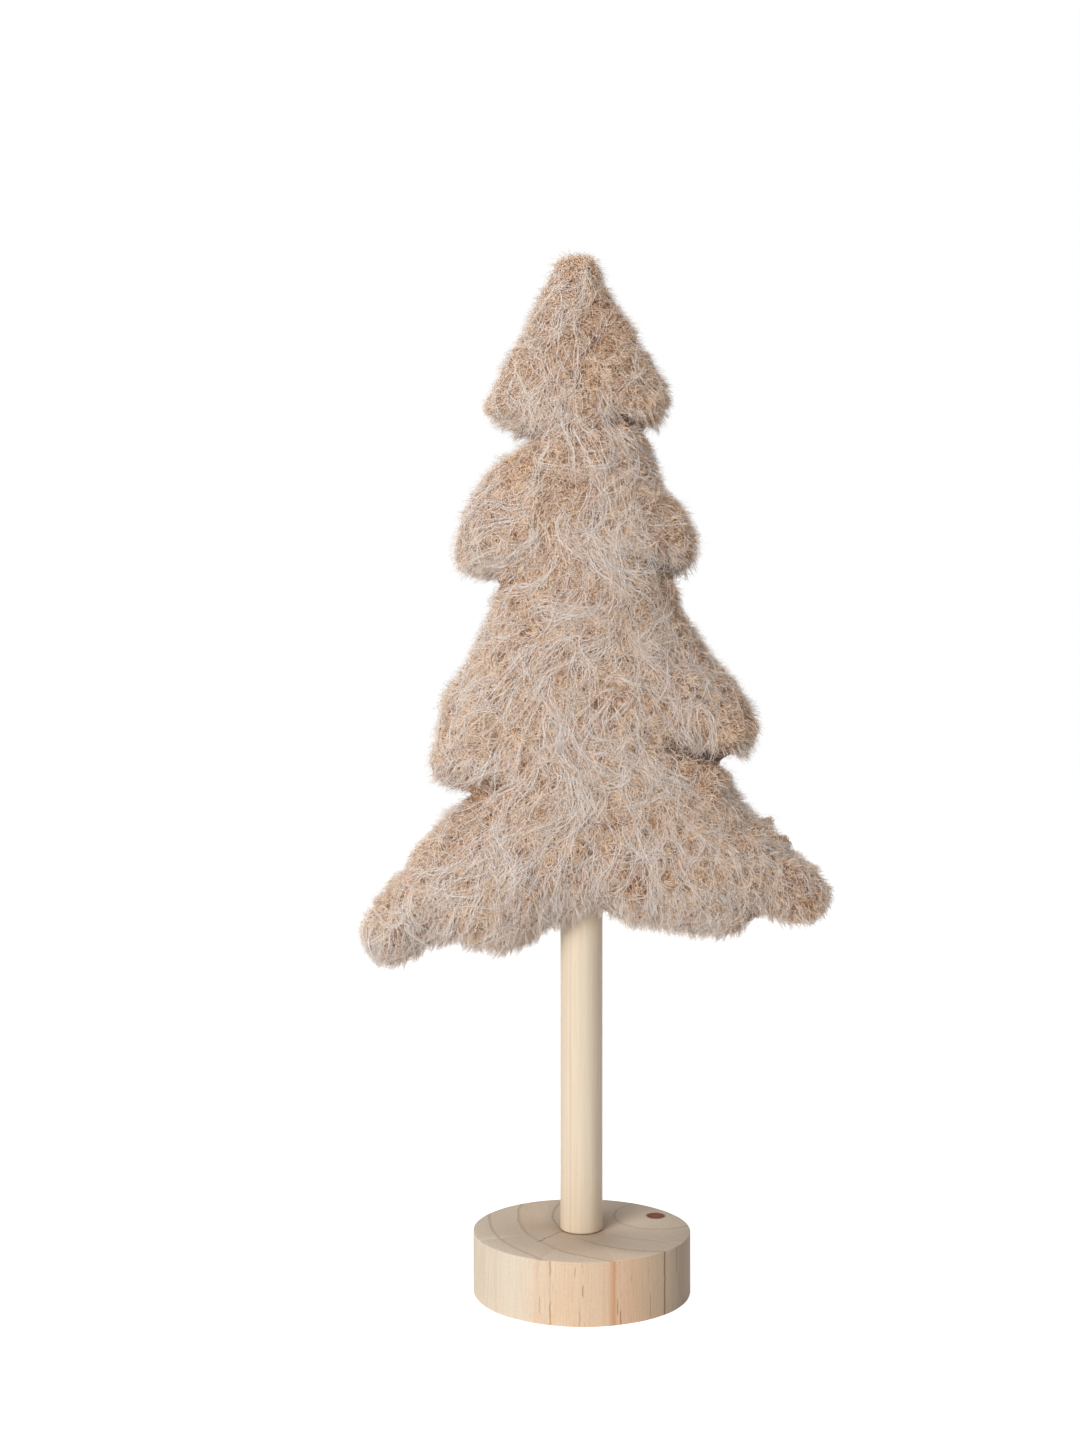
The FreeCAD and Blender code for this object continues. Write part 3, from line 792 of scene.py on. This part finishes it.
def grow_tips(share, hairs, shortest, longest, gather, shades, lowest, width):
    """Straight hairs that stand out of the pile, drawn together in points, where the surface faces
    down by more than lowest."""
    knots = 5
    clump_count = int(area * share * DENSITY)
    clumps, clump_normals = scattered(corners, corner_normals, clump_count)
    kept = (furrow(clumps) < 0.3) & (on_knob(clumps) < 0.2) & (-clump_normals[:, 2] > lowest)
    clumps, clump_normals = clumps[kept], clump_normals[kept]
    clump_count = len(clumps)
    lean = turned(flow(clumps, clump_normals, 0.7), clump_normals, rng.normal(0, 0.45, clump_count))
    fringe = 1 + 0.3 * np.clip(-clump_normals[:, 2], 0, 1)
    clump_length = rng.uniform(shortest, longest, clump_count) * MM * fringe
    owner = np.repeat(np.arange(clump_count), hairs)
    count = len(owner)
    normals, lean = clump_normals[owner], lean[owner]
    across = np.cross(normals, lean)
    apart = rng.normal(0, 0.5, (2, count, 1)) * MM
    offset = lean * apart[0] + across * apart[1]
    t = np.linspace(0, 1, knots)[None, :, None]
    length = (clump_length[owner] * rng.uniform(0.65, 1.05, count))[:, None, None]
    curve = rng.normal(0, 0.12, (count, 1, 1))
    lines = (
        (clumps[owner] + offset)[:, None, :]
        + normals[:, None, :] * length * (0.95 * t - 0.15 * t**2)
        + lean[:, None, :] * length * 0.5 * t**1.3
        + across[:, None, :] * length * curve * t**2
        - offset[:, None, :] * gather * t
    )
    facing = unit(normals[:, None, :] * 0.6 + rng.normal(0, 0.8, (count, 1, 3)))
    widths = tapered(width, 0.75, t, count)
    shade = rng.uniform(*shades, count)[:, None] + 1.6 * t[:, 1:, 0]
    return lines, sides_of(lines, facing), widths, np.clip(shade.astype(int), 2, 8)


grow_pile()
in_bands("guard_hair", *grow_hair(
    share=0.034, fewest=4, most=10, shortest=13, longest=30, swirl=0.2, spread=1.2, bare=-0.35, width=0.17))
in_bands("loose_hair", *grow_hair(
    share=0.16, fewest=1, most=1, shortest=7, longest=20, swirl=0.38, spread=1.0, bare=-0.6, width=0.155))
in_bands("hair_tips", *grow_tips(
    share=0.07, hairs=8, shortest=5.4, longest=7.6, gather=0.85, shades=(3.6, 6.8), lowest=-1, width=0.2))
in_bands("hem_fringe", *grow_tips(
    share=0.16, hairs=8, shortest=5.6, longest=7.4, gather=0.9, shades=(4.7, 8.3), lowest=0.25, width=0.2))
in_bands("rim_hair", *grow_rim(share=2.0, shortest=4.6, longest=6.9, width=0.13))

# Wooden stand

def lathed(profile, segments=256):
    """A closed profile of radius and height, in millimetres, turned about the Z axis."""
    angles = np.arange(segments) / segments * 2 * math.pi
    rings = [
        np.stack([radius * np.cos(angles), radius * np.sin(angles), np.full(segments, float(height))], -1)
        for radius, height in profile
    ]
    points = np.stack(rings, 1).reshape(-1, 3)
    knots = len(profile)
    faces = []
    for turn in range(segments):
        first, after = turn * knots, (turn + 1) % segments * knots
        for knot in range(knots):
            above = (knot + 1) % knots
            faces.append((first + knot, after + knot, after + above, first + above))
    return points, faces


def rounded_corner(radius, height, easing, start, steps=5):
    """Points round an eased edge, from the angle start on, a quarter turn."""
    for step in range(steps + 1):
        angle = math.radians(start + 90 * step / steps)
        yield radius + easing * math.cos(angle), height + easing * math.sin(angle)


# Middle of the growth rings: X, Y
PITH = (29.2, 17.0)
# Streaks on the side of the base: angle from the front in degrees, half width, lower end, upper end,
# strength, colour
STREAKS = [
    (-17.2, 0.3, -1, 9, 0.6, (0.46, 0.24, 0.13)), (-17.2, 0.3, 17, 25, 0.6, (0.46, 0.24, 0.13)),
    (-17.2, 0.4, -1, 25, 0.25, (0.56, 0.32, 0.18)), (-24.3, 1.3, -1, 25, 0.22, (0.76, 0.46, 0.27)),
    (-22.8, 0.25, 3, 11, 0.45, (0.5, 0.28, 0.15)), (-4.6, 0.26, 17, 22, 0.65, (0.44, 0.24, 0.13)),
    (-0.6, 0.28, 10, 15.5, 0.75, (0.42, 0.22, 0.12)), (-2.4, 0.25, -1, 7, 0.55, (0.48, 0.27, 0.15)),
    (14.7, 1.4, -1, 25, 0.42, (0.8, 0.44, 0.23)), (15.1, 0.5, -1, 25, 0.35, (0.66, 0.33, 0.17)),
    (17.0, 0.25, 3, 10, 0.75, (0.42, 0.21, 0.12)), (18.6, 0.28, -1, 6, 0.8, (0.36, 0.18, 0.1)),
    (36.0, 0.28, 0, 10, 0.55, (0.42, 0.23, 0.14)), (46.0, 0.42, -1, 25, 0.85, (0.36, 0.18, 0.1)),
    (57.0, 0.3, 13, 25, 0.6, (0.38, 0.22, 0.14)), (-51.0, 0.8, -1, 25, 0.25, (0.72, 0.5, 0.3)),
    (-62.0, 0.6, 6, 25, 0.25, (0.72, 0.5, 0.3)), (60.5, 0.25, 4, 14, 0.35, (0.42, 0.25, 0.16)),
]


def streaked(wood, millimetres, body):
    """The side of the base with its listed streaks over the body colour."""
    sway = wood.maths("MULTIPLY_ADD", wood.stretched(millimetres, (0.1, 0.1, 0.28), 3, 0.65), 1.1, -0.55)
    across = wood.maths("ADD", wood.axis(millimetres, "X"), sway)
    swayed = wood.make("ShaderNodeCombineXYZ", {0: across, 1: wood.axis(millimetres, "Y")})
    upward = wood.maths("MULTIPLY_ADD", wood.axis(millimetres, "Z"), 1 / 30, 5 / 30)
    for degrees, half, low, high, strength, colour in STREAKS:
        x, y = BASE_RADIUS * math.sin(math.radians(degrees)), -BASE_RADIUS * math.cos(math.radians(degrees))
        away = wood.length(wood.mapped(swayed.outputs[0], place=(-x, -y, 0)))
        near = wood.ramp(wood.maths("MULTIPLY", away, 0.25), [(half / 8, 1.0), (half / 3, 0.0)])
        ends = [(place + 5) / 30 for place in (low, low + 1.5, high - 1.5, high)]
        tall = wood.ramp(upward, list(zip(ends, (0.0, 1.0, 1.0, 0.0))))
        share = wood.maths("MULTIPLY", wood.maths("MULTIPLY", near, tall), strength)
        body = wood.mix(share, body, colour)
    return body


def base_wood():
    """Softwood cut across the trunk: growth rings round a pith off the middle, a knot there and a crack."""
    wood = Nodes(bpy.data.materials.new("base_wood_end_grain"))
    millimetres = wood.millimetres()
    trunk = wood.mapped(millimetres, scale=(1, 1, 0.06))
    up = wood.axis(wood.make("ShaderNodeNewGeometry").outputs["Normal"], "Z")
    top = wood.ramp(wood.maths("ABSOLUTE", up), [(0.55, 0.0), (0.9, 1.0)])
    around = wood.mapped(millimetres, place=(-PITH[0], -PITH[1] * 0.88, 0), scale=(1, 0.88, 0))
    wobble = wood.maths("MULTIPLY_ADD", wood.noise(trunk, 0.05, 2), 2.4, -1.2)
    ripple = wood.maths("MULTIPLY_ADD", wood.noise(trunk, 0.6, 2), 0.7, -0.35)
    reach = wood.maths("ADD", wood.maths("ADD", wood.length(around), wobble), ripple)
    share = wood.maths("DIVIDE", reach, 80)
    pale, warm = (0.96, 0.81, 0.645), (0.95, 0.78, 0.61)
    rings = wood.ramp(share, [
        (0.0, (0.31, 0.055, 0.004)), (0.02, (0.27, 0.045, 0.003)), (0.038, (0.09, 0.022, 0.004)),
        (0.044, (0.6, 0.4, 0.25)), (0.052, pale), (0.192, warm), (0.204, (0.68, 0.51, 0.39)), (0.208, pale),
        (0.354, warm), (0.362, (0.78, 0.62, 0.49)), (0.366, pale), (0.49, warm), (0.502, (0.6, 0.43, 0.32)),
        (0.506, (0.94, 0.77, 0.6)), (0.655, (0.94, 0.75, 0.57)), (0.672, (0.72, 0.53, 0.4)), (0.677, pale),
        (0.798, warm), (0.812, (0.7, 0.53, 0.41)), (0.817, pale), (0.903, (0.97, 0.84, 0.69)),
        (0.912, (0.8, 0.64, 0.5)), (0.916, (0.97, 0.84, 0.69))])
    heart = wood.ramp(share, [
        (0.0, 0.9), (0.16, 0.89), (0.22, 0.8), (0.3, 0.745), (0.45, 0.755), (0.5, 0.8), (0.56, 0.98), (0.62, 1.0),
        (0.75, 0.96), (0.86, 0.94)])
    # side
    # Painted light and shade on the side of the base: darker and greyer towards +X where the light falls off, tinted
    # cool towards -X
    painted_side_shade = wood.ramp(wood.maths("MULTIPLY_ADD", wood.axis(millimetres, "X"), 0.5 / BASE_RADIUS, 0.5), [
        (0.2, (0.965, 0.99, 0.985)), (0.29, (0.985, 0.955, 0.9)), (0.42, (1.0, 0.905, 0.79)),
        (0.55, (1.0, 0.9, 0.8)), (0.63, (1.0, 0.86, 0.745)), (0.7, (0.99, 0.825, 0.7)),
        (0.8, (0.915, 0.82, 0.715)), (0.89, (0.84, 0.8, 0.74)), (0.94, (0.66, 0.62, 0.58))])
    side_body = wood.mix(0.82, wood.times(rings, (0.9, 0.9, 0.9)), (0.885, 0.735, 0.585))
    fibres = wood.stretched(millimetres, (1.5, 1.5, 0.05), 3, 0.65)
    side_fibres = wood.mix(wood.ramp(fibres, [(0.42, 0.0), (0.72, 0.42)]), side_body, (0.74, 0.5, 0.33))
    ticks = wood.stretched(millimetres, (2.6, 2.6, 0.16), 2)
    tick_places = wood.ramp(wood.stretched(millimetres, (0.16, 0.16, 0.02), 1), [(0.45, 0.0), (0.6, 1.0)])
    tick_share = wood.maths("MULTIPLY", wood.ramp(ticks, [(0.66, 0.0), (0.74, 0.7)]), tick_places)
    side_ticked = wood.mix(tick_share, side_fibres, (0.5, 0.27, 0.16))
    side_streaked = streaked(wood, millimetres, side_ticked)
    grit = wood.ramp(wood.noise(millimetres, 2.6, 2, 0.75), [(0.32, 0.87), (0.62, 1.0)])
    side = wood.times(wood.times(side_streaked, grit), painted_side_shade)
    # sawn ends
    pores = wood.ramp(wood.noise(millimetres, 1.9, 3, 0.75), [(0.32, (0.8, 0.78, 0.76)), (0.6, (1.0, 0.99, 0.98))])
    rays = wood.stretched(millimetres, (0.5, 2.4, 1), 2, 0.6)
    sawn = wood.times(wood.times(rings, heart), pores)
    clear = wood.ramp(share, [(0.04, 0.0), (0.06, 1.0)])
    # Painted light: a pale pool on the top at the front-left of the dowel's foot
    from_foot = wood.length(wood.mapped(millimetres, place=(8, 9, -BASE_THICKNESS)))
    painted_light_by_foot = wood.ramp(wood.maths("DIVIDE", from_foot, 20), [(0.3, 0.5), (0.8, 0.0)])
    sawn = wood.mix(painted_light_by_foot, sawn, (1.0, 0.9, 0.78))
    ray_share = wood.maths("MULTIPLY", wood.ramp(rays, [(0.45, 0.0), (0.75, 0.28)]), clear)
    end_grain = wood.mix(ray_share, sawn, (0.62, 0.5, 0.4))
    body = wood.mix(top, side, end_grain)
    # pinkish crack in a crooked line from the foot of the dowel
    line = wood.mapped(wood.mapped(millimetres, place=(7.2, 2.5, 0)), turn=(0, 0, math.radians(-236.3)))
    bend = wood.maths("MULTIPLY_ADD", wood.noise(millimetres, 0.42, 3, 0.6), 3.4, -1.7)
    aside = wood.maths("ABSOLUTE", wood.maths("ADD", wood.axis(line, "Y"), bend))
    beyond = wood.maths("ABSOLUTE", wood.maths("SUBTRACT", wood.axis(line, "X"), 8.6))
    wide = wood.maths("MAXIMUM", aside, wood.maths("MULTIPLY", wood.maths("SUBTRACT", beyond, 6.6), 0.25))
    crack = wood.maths("MULTIPLY", wood.ramp(wide, [(0.16, 1.0), (0.55, 0.0)]), top)
    coloured = wood.mix(wood.maths("MULTIPLY", crack, 0.8), body, (0.48, 0.23, 0.15))
    wood.shade("Base Color", coloured)
    wood.shade("Roughness", wood.ramp(fibres, [(0.0, 0.62), (1.0, 0.8)]))
    relief = wood.maths("SUBTRACT", wood.maths("MULTIPLY", fibres, 0.3), wood.maths("MULTIPLY", tick_share, 0.5))
    wood.bump(wood.maths("ADD", relief, wood.maths("MULTIPLY", wood.noise(millimetres, 3.0, 2), 0.35)), 0.3, 0.0004)
    return wood.owner


def dowel_wood():
    """Pale turned wood with faint straight grain."""
    wood = Nodes(bpy.data.materials.new("dowel_wood_grain"))
    millimetres = wood.millimetres()
    broad = wood.stretched(millimetres, (0.35, 0.35, 0.006), 2)
    fine = wood.stretched(millimetres, (3.2, 3.2, 0.03), 3, 0.6)
    flecks = wood.stretched(millimetres, (5.0, 5.0, 0.4), 1)
    base = wood.ramp(broad, [(0.3, (0.85, 0.7, 0.52)), (0.7, (0.91, 0.78, 0.61))])
    grain = wood.ramp(fine, [(0.35, (0.93, 0.9, 0.86)), (0.6, (1.0, 1.0, 1.0))])
    toned = wood.times(base, grain)
    specks = wood.ramp(flecks, [(0.24, 0.35), (0.33, 0.0)])
    flecked = wood.mix(specks, toned, (0.66, 0.48, 0.33))
    aside = wood.maths("ABSOLUTE", wood.maths("ADD", wood.axis(millimetres, "X"), 4.3))
    front = wood.maths("LESS_THAN", wood.axis(millimetres, "Y"), 0)
    line = wood.maths("MULTIPLY", wood.ramp(aside, [(0.1, 0.28), (0.4, 0.0)]), front)
    wood.shade("Base Color", wood.mix(line, flecked, (0.62, 0.45, 0.3)))
    wood.shade("Roughness", wood.ramp(fine, [(0.0, 0.48), (1.0, 0.62)]))
    wood.bump(fine, 0.18, 0.0003)
    return wood.owner


# Small dents in the upper edge of the base: X, Y, depth
DENTS = [(-38.2, -14.0, 0.7), (-15.9, -37.6, 0.5), (12, -39.1, 0.25), (36, -19, 0.3)]


def make_base():
    radius, height, easing = BASE_RADIUS, BASE_THICKNESS, BASE_EASING
    profile = [(SCREW_HOLE_RADIUS, height), (SCREW_HOLE_RADIUS, COUNTERSINK_DEPTH), (COUNTERSINK_RADIUS, 0.0)]
    profile += rounded_corner(radius - easing, easing, easing, -90)
    profile += rounded_corner(radius - easing, height - easing, easing, 0)
    points, faces = lathed(profile)
    turn = np.arctan2(points[:, 1], points[:, 0])
    rim = np.clip((np.hypot(points[:, 0], points[:, 1]) - radius) / 3 + 1, 0, 1)
    sanded = 0.1 * np.sin(3 * turn + 1) + 0.06 * np.sin(7 * turn) + 0.03 * np.sin(19 * turn + 2)
    points[:, :2] *= (1 + rim * sanded / radius)[:, None]
    for x, y, size in DENTS:
        near = np.exp(-((points[:, 0] - x) ** 2 + (points[:, 1] - y) ** 2 + (points[:, 2] - height) ** 2) / 1.8)
        points -= near[:, None] * size * np.array([x / radius, y / radius, 0.8])
    base = link("base_slice", mesh_of("base_slice", points * MM, faces))
    set_material(base, base_wood())
    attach(base, "root")
    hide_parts("base_disc")


def make_dowel():
    radius, height, easing = DOWEL_RADIUS, BASE_THICKNESS, DOWEL_EASING
    profile = [(0.01, height), *rounded_corner(radius - easing, height + easing, easing, -90)]
    profile += [(radius, height + 20 * step) for step in range(1, 15)]
    profile += [(radius, DOWEL_TOP - 2.5), (radius - 2.5, DOWEL_TOP), (0.01, DOWEL_TOP)]
    points, faces = lathed(profile, 128)
    rod = link("dowel_rod", mesh_of("dowel_rod", points * MM, faces))
    set_material(rod, dowel_wood())
    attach(rod, "root")
    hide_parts("dowel")


def screw_steel():
    """Zinc plate with a faint cloudy bloom."""
    steel = Nodes(bpy.data.materials.new("screw_zinc"))
    cloud = steel.noise(steel.millimetres(), 0.9, 3)
    steel.shade("Base Color", steel.ramp(cloud, [(0.3, (0.62, 0.6, 0.52)), (0.7, (0.78, 0.75, 0.64))]))
    steel.shade("Metallic", 1.0)
    steel.shade("Roughness", steel.ramp(cloud, [(0.3, 0.28), (0.7, 0.42)]))
    steel.bump(cloud, 0.1, 0.0001)
    return steel.owner


make_base()
make_dowel()
set_material(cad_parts["base_screw"], screw_steel())

# Floor and light

FLOOR_WHITE = 0.86
FLOOR_GLOW = 0.82
WORLD_LIGHT = 0.26


def seen_white(nodes, strength):
    """This strength for what the camera sees, directly or through gloss and glass, else 0."""
    rays = nodes.make("ShaderNodeLightPath").outputs
    direct = nodes.maths("MAXIMUM", rays["Is Camera Ray"], rays["Is Glossy Ray"])
    through = nodes.maths("MAXIMUM", direct, rays["Is Transmission Ray"])
    return nodes.maths("MULTIPLY", through, strength)


floor = link("floor", mesh_of("floor", [(-3, -3, 0), (3, -3, 0), (3, 3, 0), (-3, 3, 0)], [(0, 1, 2, 3)]))
paint = Nodes(bpy.data.materials.new("floor_white"))
paint.tree.nodes.remove(paint.shader)
matt = paint.make("ShaderNodeBsdfDiffuse", {"Color": (FLOOR_WHITE,) * 3})
glow = paint.make("ShaderNodeEmission", {"Strength": seen_white(paint, FLOOR_GLOW)})
both = paint.make("ShaderNodeAddShader", {0: matt.outputs[0], 1: glow.outputs[0]})
paint.put(paint.tree.nodes["Material Output"].inputs["Surface"], both.outputs[0])
set_material(floor, paint.owner)

world = bpy.data.worlds.new("world")
bpy.context.scene.world = world
sky = Nodes(world)
lit = sky.tree.nodes["Background"]
sky.put(lit.inputs["Color"], (1, 1, 1))
sky.put(lit.inputs["Strength"], WORLD_LIGHT)
seen = sky.make("ShaderNodeBackground", {"Color": (1, 1, 1), "Strength": 1})
choice = sky.make("ShaderNodeMixShader", {"Fac": seen_white(sky, 1), 1: lit.outputs[0], 2: seen.outputs[0]})
sky.put(sky.tree.nodes["World Output"].inputs["Surface"], choice.outputs[0])
bpy.context.scene.view_settings.view_transform = "Standard"


def area_light(name, place, target, size, power):
    data = bpy.data.lights.new(name, "AREA")
    data.shape = "DISK"
    data.size = size
    data.energy = power
    lamp = bpy.data.objects.new(name, data)
    lamp.location = place
    lamp.rotation_euler = (Vector(target) - Vector(place)).to_track_quat("-Z", "Y").to_euler()
    bpy.context.scene.collection.objects.link(lamp)


area_light("key_light", place=(-1.4, -2.07, 0.85), target=(0, 0, 0.18), size=1.4, power=41.5)
area_light("top_light", place=(-0.9, -0.6, 4.0), target=(0, 0, 0.1), size=4.0, power=42)
